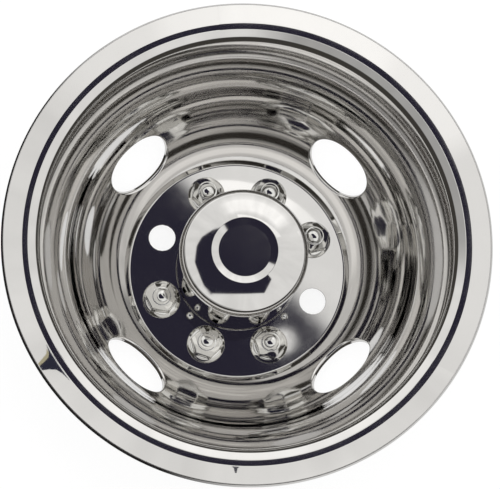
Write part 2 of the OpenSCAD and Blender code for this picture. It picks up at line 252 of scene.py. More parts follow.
def liner_profile():
    corners = liner_corners()
    edge = lip_edge(corners[LIP_FOOT_AT])
    corners[-1] = (*edge[0][:2], 0)
    return refined(profile(corners)[:-1] + edge)


def cap_profile():
    cap_r, sink_r = CAP_DIA / 2, SINK_DIA / 2
    middle = CAP_H - DOME_R
    rim = middle + math.sqrt(DOME_R**2 - sink_r**2)
    start = math.degrees(math.acos(sink_r / DOME_R))
    end = math.degrees(math.acos((cap_r - CAP_SHOULDER_R) / DOME_R))
    dome = arc_rows((0, middle), DOME_R, start, end, DOME_STEP)
    edge = dome[-1]
    fall = edge[0] / (edge[1] - middle)
    inner = profile([
        (0, rim - SINK_DEPTH, 0),
        (sink_r - SINK_RING, rim - SINK_DEPTH, SINK_BEND_R),
        (sink_r, rim, SINK_BEND_R),
        dome[DOME_START][:2] + (0,),
    ])
    outer = profile([
        edge[:2] + (0,),
        (cap_r, edge[1] - CAP_SHOULDER_R * fall, CAP_SHOULDER_R),
        (cap_r, -SHEET, CAP_BEND_R),
        (cap_r + CAP_FLANGE, -SHEET, 0),
    ])
    return refined(inner[:-1] + dome[DOME_START:-1] + outer[1:])


def lean_press(rows, normals, inside):
    """Leans the normals of the rows that inside(row) holds for."""
    lean = math.tan(PRESS_LEAN) * np.array((math.cos(PRESS_AZIMUTH), math.sin(PRESS_AZIMUTH), 0))
    for row, normal in zip(rows, normals):
        if inside(row):
            normal += lean


def behind(rows, distance):
    """Rows of the sheet's other face."""
    return [(r - distance * nr, z - distance * nz, -nr, -nz) for r, z, nr, nz in rows]


def new_piece(name, points, faces, material, normals=None):
    """An object from points in metres, shaded smooth with its own normals if they are given."""
    mesh = bpy.data.meshes.new(name)
    mesh.from_pydata(points, [], faces)
    mesh.materials.append(material)
    if normals is not None:
        mesh.shade_smooth()
        mesh.normals_split_custom_set_from_vertices(normals)
    piece = bpy.data.objects.new(name, mesh)
    bpy.context.scene.collection.objects.link(piece)
    return piece


class Surface:
    """Vertices, faces and one normal for each corner, gathered while a mesh is built."""

    def __init__(self):
        self.points, self.normals, self.faces = [], [], []
        self.count = 0

    def add(self, points, normals):
        """Adds points with their normals, both of shape (..., 3), and returns their numbers."""
        points, normals = np.asarray(points, float), np.asarray(normals, float)
        shape = points.shape[:-1]
        numbers = np.arange(self.count, self.count + math.prod(shape)).reshape(shape)
        self.points.append(points.reshape(-1, 3))
        self.normals.append(normals.reshape(-1, 3))
        self.count += numbers.size
        return numbers

    def quads(self, numbers, around=True, keep=None, flip=False):
        """Joins a grid of vertex numbers, rows by columns. keep(row, column) leaves quads out."""
        rows, columns = numbers.shape
        for j in range(rows - 1):
            for i in range(columns if around else columns - 1):
                if keep is not None and not keep(j, i):
                    continue
                k = (i + 1) % columns
                face = (numbers[j, i], numbers[j, k], numbers[j + 1, k], numbers[j + 1, i])
                self.faces.append(face[::-1] if flip else face)

    def fan(self, centre, ring, flip=False):
        for i in range(len(ring)):
            face = (centre, ring[i], ring[(i + 1) % len(ring)])
            self.faces.append(face[::-1] if flip else face)

    def build(self, name, material):
        points = np.vstack(self.points) * MM
        normals = np.vstack(self.normals)
        normals /= np.linalg.norm(normals, axis=1, keepdims=True)
        points[:, 2] += PLATE_Z * MM
        faces = [tuple(int(v) for v in f) for f in self.faces]
        return new_piece(name, points.tolist(), faces, material, normals.tolist())


def turned(rows, angles):
    """Points and normals of rows turned about the axis, of shape (rows, angles, 3)."""
    rows = np.array(rows)
    c, s = np.cos(angles)[None, :], np.sin(angles)[None, :]
    r, z, nr, nz = (rows[:, k, None] for k in range(4))
    flat = np.ones_like(c)
    return np.stack((r * c, r * s, z * flat), -1), np.stack((nr * c, nr * s, nz * flat), -1)


def oval_reach(a, along, across, power):
    """Distance of an oval's edge from its centre in direction a."""
    total = np.abs(np.cos(a) / along) ** power + np.abs(np.sin(a) / across) ** power
    return total ** (-1 / power)


def oval_normal(u, v, along, across, power):
    n = np.stack((
        np.sign(u) * np.abs(u / along) ** (power - 1) / along,
        np.sign(v) * np.abs(v / across) ** (power - 1) / across,
    ), -1)
    return n / np.linalg.norm(n, axis=-1, keepdims=True)


class Window:
    """The part of a turned face round a hole: a frame of grid vertices, and rings between it and
    the hole's edge."""

    RINGS = 7
    RING_SPREAD = 1.25
    STEEP = 5

    def __init__(self, rows, azimuth, angle_half, low, high):
        self.rows = np.array(rows)
        self.length = np.concatenate(
            ([0], np.cumsum(np.hypot(*np.diff(self.rows[:, :2], axis=0).T))))
        step = 2 * math.pi / COLUMNS
        middle = round(math.radians(azimuth) / step)
        half = round(math.radians(angle_half) / step)
        self.columns = list(range(middle - half, middle + half + 1))
        self.row_numbers = list(range(low, high + 1))
        c, r = self.columns, self.row_numbers
        self.frame = ([(r[0], k) for k in c] + [(j, c[-1]) for j in r[1:]]
            + [(r[-1], k) for k in c[-2::-1]] + [(j, c[0]) for j in r[-2:0:-1]])
        self.step = step
        self.azimuth = math.radians(azimuth)

    def holds(self, j, i):
        lo, hi = self.columns[0] % COLUMNS, (self.columns[-1] - 1) % COLUMNS
        inside = lo <= i <= hi if lo <= hi else (i >= lo or i <= hi)
        return inside and self.row_numbers[0] <= j < self.row_numbers[-1]

    def place(self, points):
        """Angle from the hole's own azimuth and length along the profile of points on the face."""
        angle = np.arctan2(points[:, 1], points[:, 0]) - self.azimuth
        angle = (angle + math.pi) % (2 * math.pi) - math.pi
        rows = self.rows[self.row_numbers[0]:self.row_numbers[-1] + 1]
        lengths = self.length[self.row_numbers[0]:self.row_numbers[-1] + 1]
        key = 1 if np.ptp(rows[:, 1]) > self.STEEP else 0
        value = points[:, 2] if key else np.hypot(points[:, 0], points[:, 1])
        return angle, np.interp(value, rows[:, key], lengths)

    def directions(self, radius, middle_length):
        """Direction of each frame vertex from the hole's centre, as seen on the face."""
        ahead = np.array([self.length[j] - middle_length for j, _ in self.frame])
        aside = np.array([(k * self.step - self.azimuth) * radius for _, k in self.frame])
        return np.arctan2(aside, ahead)

    def fill(self, surface, grid, edge, flip):
        """Adds the rings from the hole's edge to the frame, and returns the edge's numbers."""
        angle, length = self.place(edge)
        frame_angle = np.array([k * self.step - self.azimuth for _, k in self.frame])
        frame_length = np.array([self.length[j] for j, _ in self.frame])
        numbers = []
        for n in range(self.RINGS):
            share = (n / self.RINGS) ** self.RING_SPREAD
            a = self.azimuth + angle + (frame_angle - angle) * share
            s = length + (frame_length - length) * share
            r, z, nr, nz = (np.interp(s, self.length, self.rows[:, k]) for k in range(4))
            c, d = np.cos(a), np.sin(a)
            numbers.append(surface.add(
                np.stack((r * c, r * d, z), -1), np.stack((nr * c, nr * d, nz), -1)))
        numbers.append(np.array([grid[j, k % COLUMNS] for j, k in self.frame]))
        surface.quads(np.array(numbers), flip=flip)
        return numbers[0]


SEARCH_REACH, SEARCH_ROUNDS = 30.0, 40


def on_face(rows, start, direction):
    """Points where lines from start along direction meet a face that widens upwards."""
    rows = np.array(rows)
    low, high = np.full(len(start), -SEARCH_REACH), np.full(len(start), SEARCH_REACH)
    for _ in range(SEARCH_ROUNDS):
        middle = (low + high) / 2
        p = start + middle[:, None] * direction
        outside = np.hypot(p[:, 0], p[:, 1]) > np.interp(p[:, 2], rows[:, 1], rows[:, 0])
        low = np.where(outside, middle, low)
        high = np.where(outside, high, middle)
    return start + ((low + high) / 2)[:, None] * direction


def curve(start, corner, end, t):
    """Part t of the curve that leaves start towards corner and ends at end."""
    return (1 - t) ** 2 * start + 2 * t * (1 - t) * corner + t**2 * end


def hand_hole(surface, front, back, front_grid, back_grid, azimuth, span):
    """One hand hole with its edge rolled over and turned back."""
    lean = math.radians(BAND_ANGLE)
    turn = math.radians(azimuth)
    foot = liner_corners()[BAND_FOOT_AT]
    centre_r = foot[0] + (HAND_Z - foot[1]) * math.tan(lean)
    outward = np.array((math.cos(turn), math.sin(turn), 0))
    aside = np.array((-math.sin(turn), math.cos(turn), 0))
    up = np.array((0, 0, 1.0))
    centre = outward * centre_r + up * HAND_Z
    along = outward * math.sin(lean) + up * math.cos(lean)
    square = -outward * math.cos(lean) + up * math.sin(lean)
    low, high = span
    face = Window(front, azimuth, HAND_WINDOW, low, high)
    rear = Window(back, azimuth, HAND_WINDOW, low, high)
    middle = face.place(centre[None, :])[1][0]
    a = face.directions(centre_r, middle)
    half = (HAND_W / 2, HAND_L / 2)

    def rim(grow, rows):
        reach = oval_reach(a, half[0] + grow, half[1] + grow, HAND_POWER)
        u, v = reach * np.cos(a), reach * np.sin(a)
        start = centre + u[:, None] * along + v[:, None] * aside
        return on_face(rows, start, np.broadcast_to(square, start.shape))

    reach = oval_reach(a, *half, HAND_POWER)
    n = oval_normal(reach * np.cos(a), reach * np.sin(a), *half, HAND_POWER)
    wall = -(n[:, :1] * along + n[:, 1:] * aside)
    band = front[low:high + 1]
    corner = rim(0, band)
    edge = rim(HAND_ROLL, band)
    inner = face.fill(surface, front_grid, edge, flip=False)
    top = surface.normals[-face.RINGS].copy()
    rings = [inner]
    start, end = edge, corner - HAND_ROLL * square
    for t in np.linspace(0, 1, 7)[1:]:
        rings.append(surface.add(curve(start, corner, end, t), (1 - t) * top + t * wall))
    depth = HAND_EDGE + SHEET
    rings.append(surface.add(corner - (depth - SHEET_EASE) * square, wall))
    rings.append(surface.add(corner - depth * square - SHEET_EASE * wall, 0.5 * wall - square))
    outer = rim(SHEET, back[low:high + 1])
    foot = rim(SHEET, band)
    rings.append(surface.add(foot - depth * square + SHEET_EASE * wall, -0.5 * wall - square))
    rings.append(surface.add(foot - (depth - SHEET_EASE) * square, -wall))
    surface.quads(np.array(rings), flip=True)
    rear.fill(surface, back_grid, outer, flip=True)
    end = surface.add(outer, -wall)
    surface.quads(np.array([rings[-1], end]), flip=True)
    return face


def stud_hole(surface, front, back, front_grid, back_grid, azimuth, span):
    """One pierced hole in the flat plate, with its edges eased."""
    turn = math.radians(azimuth)
    outward = np.array((math.cos(turn), math.sin(turn), 0))
    aside = np.array((-math.sin(turn), math.cos(turn), 0))
    centre = outward * BOLT_CIRCLE / 2
    low, high = span
    face = Window(front, azimuth, STUD_WINDOW, low, high)
    rear = Window(back, azimuth, STUD_WINDOW, low, high)
    a = face.directions(BOLT_CIRCLE / 2, face.place(centre[None, :])[1][0])
    ray = np.cos(a)[:, None] * outward + np.sin(a)[:, None] * aside
    up = np.array((0, 0, 1.0))

    def rim(r, z):
        return centre + r * ray + z * up

    r = STUD_HOLE_DIA / 2
    inner = face.fill(surface, front_grid, rim(r + STUD_ROLL, 0), flip=False)
    rings = [inner]
    for t in np.linspace(0, math.pi / 2, 5)[1:]:
        c, s = math.cos(t), math.sin(t)
        rings.append(surface.add(
            rim(r + STUD_ROLL * (1 - s), -STUD_ROLL * (1 - c)), c * up - s * ray))
    rings.append(surface.add(rim(r, -SHEET), -ray))
    surface.quads(np.array(rings), flip=True)
    rear.fill(surface, back_grid, rim(r, -SHEET), flip=True)
    return face


def row_after(rows, radius, height=-1.0):
    """Number of the first row past a radius and a height."""
    return next(i for i, row in enumerate(rows) if row[0] > radius and row[1] > height)


def make_liner(material):
    front = liner_profile()
    back = behind(front, SHEET)
    angles = np.arange(COLUMNS) * 2 * math.pi / COLUMNS
    surface = Surface()
    points, normals = turned(front, angles)
    lean_press(front, normals,
        lambda row: SEAT_SPAN[0] < row[0] < SEAT_SPAN[1] and row[1] > SEAT_LOW)
    front_grid = surface.add(points, normals)
    back_grid = surface.add(*turned(back, angles))
    hand_span = [row_after(front, *place) for place in HAND_SPAN]
    stud_span = [row_after(front, radius) for radius in STUD_SPAN]
    gaps = []
    for azimuth in HAND_AZIMUTHS:
        gaps.append(
            hand_hole(surface, front, back, front_grid, back_grid, azimuth, hand_span))
    for azimuth in STUD_AZIMUTHS:
        gaps.append(
            stud_hole(surface, front, back, front_grid, back_grid, azimuth, stud_span))

    def keep(j, i):
        return not any(gap.holds(j, i) for gap in gaps)

    surface.quads(front_grid, keep=keep, flip=True)
    surface.quads(back_grid, keep=keep)
    outermost = (front[-1][3], -front[-1][2])
    for row, normal, flip in ((0, (-1, 0), False), (-1, outermost, True)):
        ends = [(p[0], p[1], *normal) for p in (front[row], back[row])]
        surface.quads(surface.add(*turned(ends, angles)), flip=flip)
    piece = surface.build("liner_skin", material)
    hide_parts("wheel_liner")
    return piece


def flange_edge(angle):
    """Radius of the cap's flange at an angle, with an ear round each rivet."""
    edge = np.full_like(angle, CAP_DIA / 2 + CAP_FLANGE)
    circle = CAP_DIA / 2 + EAR_R - EAR_INSET
    for azimuth in EAR_AZIMUTHS:
        off = (angle - math.radians(azimuth) + math.pi) % (2 * math.pi) - math.pi
        inside = np.abs(circle * np.sin(off)) < EAR_R
        near = inside & (np.abs(off) < 1)
        side = circle * np.sin(off)
        reach = circle * np.cos(off) + np.sqrt(np.maximum(0, EAR_R**2 - side**2))
        edge = np.where(near, np.maximum(edge, reach), edge)
    return edge


def make_cap(material):
    front = cap_profile()
    back = behind(front, CAP_T)
    angles = np.arange(COLUMNS) * 2 * math.pi / COLUMNS
    surface = Surface()
    edge = flange_edge(angles)
    for rows, flip in ((front, False), (back, True)):
        points, normals = turned(rows[1:], angles)
        points[-1, :, 0], points[-1, :, 1] = edge * np.cos(angles), edge * np.sin(angles)
        lean_press(rows[1:], normals, lambda row: row[0] < DISC_R)
        middle = np.array([[0, 0, float(rows[0][3])]])
        lean_press(rows[:1], middle, lambda row: True)
        grid = surface.add(points, normals)
        centre = surface.add([[0, 0, rows[0][1]]], middle)
        surface.quads(grid, flip=not flip)
        surface.fan(centre[0], grid[0], flip=flip)
    rim = np.stack((np.cos(angles), np.sin(angles), 0 * angles), -1)
    heights = (front[-1][1], back[-1][1])
    ends = [surface.add(rim * edge[:, None] + np.array((0, 0, z)), rim) for z in heights]
    surface.quads(np.array(ends))
    piece = surface.build("cap_skin", material)
    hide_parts("hub_cap")
    return piece


def hex_reach(angle, apothem, corner_r):
    """Distance from the centre to a hexagon with rounded corners, one of them at angle 0."""
    off = (angle + math.pi / 6) % (math.pi / 3) - math.pi / 6
    flat = apothem / np.cos(math.pi / 6 - np.abs(off))
    middle = (apothem - corner_r) / math.cos(math.pi / 6)
    limit = math.atan2(corner_r * 0.5, middle + corner_r * math.cos(math.pi / 6))
    inside = np.maximum(0, corner_r**2 - (middle * np.sin(off)) ** 2)
    return np.where(np.abs(off) < limit, middle * np.cos(off) + np.sqrt(inside), flat)


def nut_rings():
    """Rings of a nut cover from the hollow's top, out over the flange's rim and up to the dome:
    the radius and the height of each column."""
    angle = np.arange(NUT_COLUMNS) * 2 * math.pi / NUT_COLUMNS
    reach = hex_reach(angle, NUT_AF / 2, NUT_CORNER_R)
    ones = np.ones(NUT_COLUMNS)
    rings = []

    def ring(r, z):
        rings.append((r * ones, z * ones))

    def bend(start, corner, end, count):
        for t in np.linspace(0, 1, count):
            ring(*(curve(p, q, s, t) for p, q, s in zip(start, corner, end)))

    flange_r, rim_r = NUT_FLANGE_DIA / 2, NUT_RIM_H / 2
    inside = NUT_AF / 2 - NUT_WALL_T
    ring(NUT_DOME_DIA / 2, NUT_TOP_H - NUT_CROWN_T)
    ring(inside, NUT_HEX_H - NUT_HEX_T)
    ring(inside, NUT_FOOT_H - NUT_FOOT_T)
    ring(flange_r - 2 * rim_r, 0)
    for t in np.linspace(-90, 60, 11):
        a = math.radians(t)
        ring(flange_r - rim_r + rim_r * math.cos(a), rim_r + rim_r * math.sin(a))
    hex_r = NUT_AF / 2 / math.cos(math.pi / 6)
    rim_x, rim_z = flange_r - rim_r * 0.5, rim_r * (1 + math.sin(math.pi / 3))
    run, rise = rim_x - (hex_r - NUT_CONE_IN), NUT_FOOT_H - rim_z
    ring(rim_x - NUT_CONE_SHARE * run, rim_z + NUT_CONE_SHARE * rise)

    def cone(r):
        return np.minimum(NUT_FOOT_H, rim_z + (rim_x - r) * rise / run)

    start = (reach + NUT_FILLET, cone(reach + NUT_FILLET))
    foot_z = cone(reach)
    bend(start, (reach, foot_z), (reach, foot_z + NUT_FILLET), 6)
    shoulder_r = NUT_DOME_DIA / 2 + NUT_SHOULDER_OUT
    chamfer = (NUT_TOP_H - NUT_HEX_H) / (hex_r - shoulder_r)
    corner_z = NUT_HEX_H + (hex_r - reach) * chamfer
    ring(reach, (foot_z + NUT_FILLET + corner_z) / 2)
    eased = (reach - NUT_EASE, corner_z + NUT_EASE * chamfer)
    bend((reach, corner_z - NUT_EASE), (reach, corner_z), eased, 6)
    ease = NUT_SHOULDER_EASE
    before = (shoulder_r + ease, NUT_TOP_H - ease * chamfer)
    for t in (0.35, 0.7):
        ring(*(p + (q - p) * t for p, q in zip(eased, before)))
    bend(before, (shoulder_r, NUT_TOP_H), (shoulder_r - ease, NUT_TOP_H), 5)
    middle = NUT_TOP_H - math.sqrt(NUT_DOME_R**2 - (NUT_DOME_DIA / 2) ** 2)
    tilt = math.asin(NUT_DOME_DIA / 2 / NUT_DOME_R)
    for t in np.linspace(1, 0, 14)[:-1]:
        ring(NUT_DOME_R * math.sin(tilt * t), middle + NUT_DOME_R * math.cos(tilt * t))
    return angle, rings, (NUT_TOP_H - NUT_CROWN_T, middle + NUT_DOME_R)


def make_nut(number, material):
    angle, rings, heights = nut_rings()
    angle = angle + math.radians(NUT_TURNS[number])
    points = np.array([np.stack((r * np.cos(angle), r * np.sin(angle), z), -1) for r, z in rings])
    spot = math.radians(NUT_AZIMUTHS[number])
    offset = np.array((math.cos(spot), math.sin(spot), 0)) * BOLT_CIRCLE / 2
    ends = np.array([(0, 0, z) for z in heights])
    places = np.vstack((points.reshape(-1, 3), ends)) + offset
    places[:, 2] += PLATE_Z
    around = [(i, (i + 1) % NUT_COLUMNS) for i in range(NUT_COLUMNS)]
    last = (len(points) - 1) * NUT_COLUMNS
    below, above = last + NUT_COLUMNS, last + NUT_COLUMNS + 1
    faces = [(j + i, j + k, j + NUT_COLUMNS + k, j + NUT_COLUMNS + i)
        for j in range(0, last, NUT_COLUMNS) for i, k in around]
    faces += [(below, k, i) for i, k in around]
    faces += [(above, last + i, last + k) for i, k in around]
    piece = new_piece(f"nut_skin_{number + 1}", (places * MM).tolist(), faces, material)
    piece.data.shade_smooth()
    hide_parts(f"nut_cover_{number + 1}")
    return piece


# Materials. Scales of the noise for polishing marks, waviness and smudges, and how far round the
# axis a mark runs
MARK_SCALE, WAVE_SCALE, SMUDGE_SCALE, MARK_ROUND = 2600.0, 14.0, 32.0, 0.002
SMUDGE_SPAN, SMUDGE_ROUGHNESS, SMUDGE_TINT = (0.35, 0.75), (0.7, 1.5), 0.94

# The dish's deep wall, by radius and height in metres, is rougher than the rest, and brighter by a
# painted highlight: its colour is raised to stand in for brighter reflections there
DEEP_RADIUS, DEEP_HEIGHT = (0.112, 0.124), (0.164, 0.156)
DEEP_ROUGHNESS, DEEP_PAINTED_HIGHLIGHT = 1.7, 1.10


class Nodes:
    """A short way to write a node tree."""

    def __init__(self, tree):
        self.tree = tree

    def add(self, kind, inputs=None, **settings):
        node = self.tree.nodes.new(kind)
        for key, value in settings.items():
            setattr(node, key, value)
        for key, value in (inputs or {}).items():
            if isinstance(value, bpy.types.NodeSocket):
                self.tree.links.new(value, node.inputs[key])
            else:
                node.inputs[key].default_value = value
        return node

    def math(self, operation, *values):
        return self.add("ShaderNodeMath", dict(enumerate(values)), operation=operation).outputs[0]

    def vector(self, operation, *values):
        return self.add("ShaderNodeVectorMath", dict(enumerate(values)), operation=operation)

    def ramp(self, value, low, high, to_low=0.0, to_high=1.0):
        return self.add("ShaderNodeMapRange", {"Value": value, "From Min": low, "From Max": high,
            "To Min": to_low, "To Max": to_high}).outputs[0]

    def join(self, output, socket):
        self.tree.links.new(output, socket)

    def noise(self, place, **inputs):
        return self.add("ShaderNodeTexNoise", {"Vector": place, **inputs}).outputs[0]

    def dot(self, vector, fixed):
        return self.vector("DOT_PRODUCT", vector, fixed).outputs["Value"]

    def along(self, x, y, azimuth):
        """The part of (x, y) that lies along an azimuth in degrees."""
        turn = math.radians(azimuth)
        return self.math("ADD", self.math("MULTIPLY", x, math.cos(turn)),
            self.math("MULTIPLY", y, math.sin(turn)))

    def degrees(self, operation, *values):
        return self.math("DEGREES", self.math(operation, *values))

    def scaled(self, vector, scale):
        node = self.vector("SCALE", vector)
        self.join(scale, node.inputs["Scale"])
        return node.outputs["Vector"]

    def mix(self, share, first, second):
        """A mix of two colours, given as sockets or as red, green and blue."""
        colours = [c if isinstance(c, bpy.types.NodeSocket) else (*c, 1) for c in (first, second)]
        return self.add("ShaderNodeMix", {0: share, 6: colours[0], 7: colours[1]},
            data_type="RGBA").outputs[2]


def polished(name, colour, roughness, marks=0.0, waves=0.0, deep_rough_and_painted_highlight=False):
    """Polished sheet: fine marks that run round the axis, a faint waviness and faint smudges, and
    where asked a rougher deep wall whose colour is raised as a painted highlight.
    """
    material = bpy.data.materials.new(name)
    material.use_nodes = True
    tree = material.node_tree
    n = Nodes(tree)
    shader = tree.nodes["Principled BSDF"]
    place = n.add("ShaderNodeTexCoord").outputs["Object"]
    x, y, z = n.add("ShaderNodeSeparateXYZ", {0: place}).outputs
    radius = n.math("SQRT", n.math("ADD", n.math("MULTIPLY", x, x), n.math("MULTIPLY", y, y)))
    round_x = n.math("MULTIPLY", n.math("DIVIDE", x, radius), MARK_ROUND)
    round_y = n.math("MULTIPLY", n.math("DIVIDE", y, radius), MARK_ROUND)
    turned_place = n.add("ShaderNodeCombineXYZ",
        {0: round_x, 1: round_y, 2: n.math("ADD", radius, z)}).outputs[0]
    lines = n.noise(turned_place, Scale=MARK_SCALE, Detail=3.0)
    swell = n.noise(place, Scale=WAVE_SCALE, Detail=1.0)
    smudge = n.noise(place, Scale=SMUDGE_SCALE, Detail=5.0, Roughness=0.6)
    rough = n.ramp(smudge, *SMUDGE_SPAN, *(roughness * part for part in SMUDGE_ROUGHNESS))
    smudged = [part * SMUDGE_TINT for part in colour]
    tint = n.mix(smudge, colour, smudged)
    if deep_rough_and_painted_highlight:
        wall = n.math("MULTIPLY", n.ramp(radius, *DEEP_RADIUS), n.ramp(z, *DEEP_HEIGHT))
        rough = n.math("MULTIPLY", rough, n.ramp(wall, 0, 1, 1, DEEP_ROUGHNESS))
        # Painted highlight: the deep wall's colour is raised to stand in for brighter reflections
        # there
        tint = n.scaled(tint, n.ramp(wall, 0, 1, 1, DEEP_PAINTED_HIGHLIGHT))
    n.join(rough, shader.inputs["Roughness"])
    n.join(tint, shader.inputs["Base Color"])
    shader.inputs["Metallic"].default_value = 1.0
    height = n.math("ADD", n.math("MULTIPLY", lines, marks), n.math("MULTIPLY", swell, waves))
    bump = n.add("ShaderNodeBump", {"Height": height, "Strength": 1.0, "Distance": MM})
    n.join(bump.outputs[0], shader.inputs["Normal"])
    return material


def make_materials():
    """One finish for each material slot of the record."""
    return {
        "polished_steel": polished("polished_steel", (0.66, 0.65, 0.635), 0.045,
            marks=0.00005, waves=0.004, deep_rough_and_painted_highlight=True),
        "plated_cover": polished("plated_cover", (0.72, 0.715, 0.69), 0.035),
        "rivet_steel": polished("rivet_steel", (0.66, 0.655, 0.64), 0.12),
        "zinc_steel": polished("zinc_steel", (0.62, 0.62, 0.60), 0.28, marks=0.002),
    }


# Studio. The tent's dark opening, seen from the object round the camera, is bounded by straight
# sides: the direction that each faces in the picture and its distance from the line of sight, in
# degrees. The tent reaches TENT_REACH degrees from overhead, and a darker room lies beyond it.
OPENING_SIDES = ((180, 26.2), (205, 18.7), (225, 15.6), (270, 8.2), (330, 23.0), (42, 22.1),
    (126, 37.5), (156, 33.1))
OPENING_BLUR = 0.7
TENT_REACH, TENT_BLUR = 55.0, 5.0
TENT = (1.03, 1.025, 1.015)
OPENING = (0.028, 0.026, 0.045)
ROOM = (0.06, 0.056, 0.05)

# A small light gap in the opening: its place right of and above the line of sight, and its size
GLINT, GLINT_REACH, GLINT_BLUR = (10.9, 18.5), 0.62, 0.2

# Folds in the cloth, and its brighter top by direction in the picture and angle from overhead
FOLD_SCALE, FOLD_RISE, FOLD_SPAN, FOLD_LIGHT = 6.0, 0.01, (0.3, 0.7), (0.93, 1.07)
TOP_SPAN, TOP_REACH, TOP_LIGHT = (0.4, 0.85), (43, 50), 1.38

# Brighter and darker parts of the tent: angle from overhead, azimuth in the picture, half sizes
# of the patch along both, and its light
PATCHES = {
    "lamp": (31.5, 76.0, 5.0, 38.0, 1.42),
    "low_left": (55.0, 218.0, 11.0, 48.0, 0.5),
}
PATCH_BLUR, PATCH_TURN_BLUR = 1.5, 7.0


def opening_share(n, direction, axes):
    """How far a direction lies in the tent's opening, from 0 to 1."""
    x, y, z = (n.dot(direction, axes @ Vector(v)) for v in ((1, 0, 0), (0, 1, 0), (0, 0, 1)))
    share = None
    for facing, reach in OPENING_SIDES:
        angle = n.degrees("ARCTAN2", n.along(x, y, facing), z)
        edge = n.ramp(angle, reach, reach - OPENING_BLUR)
        share = edge if share is None else n.math("MULTIPLY", share, edge)
    aside, above = (math.tan(math.radians(a)) for a in GLINT)
    away = n.degrees("ARCCOSINE", n.dot(direction, axes @ Vector((aside, above, 1)).normalized()))
    return n.math("MULTIPLY", share, n.ramp(away, GLINT_REACH - GLINT_BLUR, GLINT_REACH))


def tent_light(n, off, u, v):
    """The cloth's light at an angle off overhead and towards (u, v)."""
    ray = n.vector("NORMALIZE", n.add("ShaderNodeCombineXYZ", {0: u, 1: v}).outputs[0])
    ray_x, ray_y, _ = n.add("ShaderNodeSeparateXYZ", {0: ray.outputs["Vector"]}).outputs
    fold_place = n.add("ShaderNodeCombineXYZ",
        {0: ray_x, 1: ray_y, 2: n.math("MULTIPLY", off, FOLD_RISE)}).outputs[0]
    folds = n.noise(fold_place, Scale=FOLD_SCALE, Detail=3.0)
    top = n.math("MULTIPLY", n.ramp(ray_y, *TOP_SPAN), n.ramp(off, *TOP_REACH))
    light = n.math("MULTIPLY", n.ramp(folds, *FOLD_SPAN, *FOLD_LIGHT),
        n.ramp(top, 0, 1, 1, TOP_LIGHT))
    for rho, azimuth, tall, wide, strength in PATCHES.values():
        side = n.degrees("ARCCOSINE", n.along(ray_x, ray_y, azimuth))
        low, high = rho - tall, rho + tall
        ring = n.math("MULTIPLY", n.ramp(off, low - PATCH_BLUR, low + PATCH_BLUR),
            n.ramp(off, high + PATCH_BLUR, high - PATCH_BLUR))
        near = n.ramp(side, wide + PATCH_TURN_BLUR, wide - PATCH_TURN_BLUR)
        inside = n.math("MULTIPLY", near, ring)
        light = n.math("MULTIPLY", light, n.ramp(inside, 0, 1, 1, strength))
    return light


def make_studio(axes):
    """A white tent with a dark opening at the camera, which only reflections see."""
    world = bpy.data.worlds.new("studio")
    bpy.context.scene.world = world
    world.use_nodes = True
    tree = world.node_tree
    tree.nodes.clear()
    n = Nodes(tree)
    direction = n.add("ShaderNodeTexCoord").outputs["Generated"]
    dark = opening_share(n, direction, axes)
    right = axes @ Vector((1, 0, 0))
    overhead = axes @ leaned(2 * TILT)
    aside = (right - right.dot(overhead) * overhead).normalized()
    above = overhead.cross(aside)
    off = n.degrees("ARCCOSINE", n.dot(direction, overhead))
    light = tent_light(n, off, n.dot(direction, aside), n.dot(direction, above))
    tent = n.mix(dark, n.scaled(TENT, light), OPENING)
    tent = n.mix(n.ramp(off, TENT_REACH, TENT_REACH + TENT_BLUR), tent, ROOM)
    white = n.add("ShaderNodeBackground", {"Color": (1, 1, 1, 1), "Strength": 1.0}).outputs[0]
    seen = n.add("ShaderNodeBackground", {"Color": tent, "Strength": 1.0}).outputs[0]
    glossy = n.add("ShaderNodeLightPath").outputs["Is Glossy Ray"]
    both = n.add("ShaderNodeMixShader", {0: glossy, 1: white, 2: seen}).outputs[0]
    n.add("ShaderNodeOutputWorld", {"Surface": both})


# Painted reflections in the lip: cards that only reflections see, set where the lip mirrors them
# for the camera and close enough to it to show in it alone, as a dark seam of the tent, its edge
# and a clip. Rows of radius and of the azimuths in the picture between which a card shows there,
# and its light.
CARD_LIFT = 60.0
LIP_CARDS = {
    "painted_seam_reflection": (((203.2, 208.5, 219.5), (204.6, 210.8, 217.0), (207.0, 211.8, 215.4),
        (212.0, 212.3, 214.4), (217.5, 212.6, 213.8)), (0.035, 0.036, 0.06)),
    "painted_seam_edge_reflection": (((204.6, 209.6, 210.8), (207.0, 210.8, 211.8), (212.0, 211.4, 212.3),
        (217.5, 212.0, 212.6)), (0.55, 0.50, 0.34)),
    "painted_clip_reflection": (((203.0, 265.4, 267.4), (204.5, 266.0, 266.9), (208.5, 266.3, 266.7)),
        (0.10, 0.10, 0.12)),
}
CARD_COLUMN = 3

# Painted reflections of the tent's cloth in the lip: cards that only reflections see, beside the
# lip, in pieces of azimuth in the picture, light, and distance from the lip
CLOTH_SPAN, CLOTH_COLUMN = (202.5, 218.5), 2
PAINTED_CLOTH_REFLECTIONS = (
    ((-34, 1.00, 60), (-22, 1.06, 60), (21, 1.07, 60), (27, 1.25, 60)),
    ((27, 1.27, 125), (50, 1.31, 125), (55, 1.43, 125), (80, 1.45, 125), (94, 1.43, 125),
        (98, 1.36, 125)),
    ((98, 1.34, 48), (110, 1.30, 48), (116, 1.16, 50), (135, 1.12, 60), (146, 1.0, 60)),
)


def mirrored_place(radius, azimuth, lift, camera):
    """The place that the lip's face mirrors for the camera, lift away from the face."""
    foot = liner_corners()[LIP_FOOT_AT]
    slope = math.radians(LIP_SLOPE)
    turn = math.radians(azimuth) + MODEL_TURN
    out = Vector((math.cos(turn), math.sin(turn), 0))
    place = out * radius
    place.z = PLATE_Z + foot[1] + (radius - foot[0]) * math.tan(slope)
    normal = Vector((0, 0, math.cos(slope))) - out * math.sin(slope)
    ray = (place - camera.matrix_world.translation / MM).normalized().reflect(normal)
    return (place + ray * lift) * MM


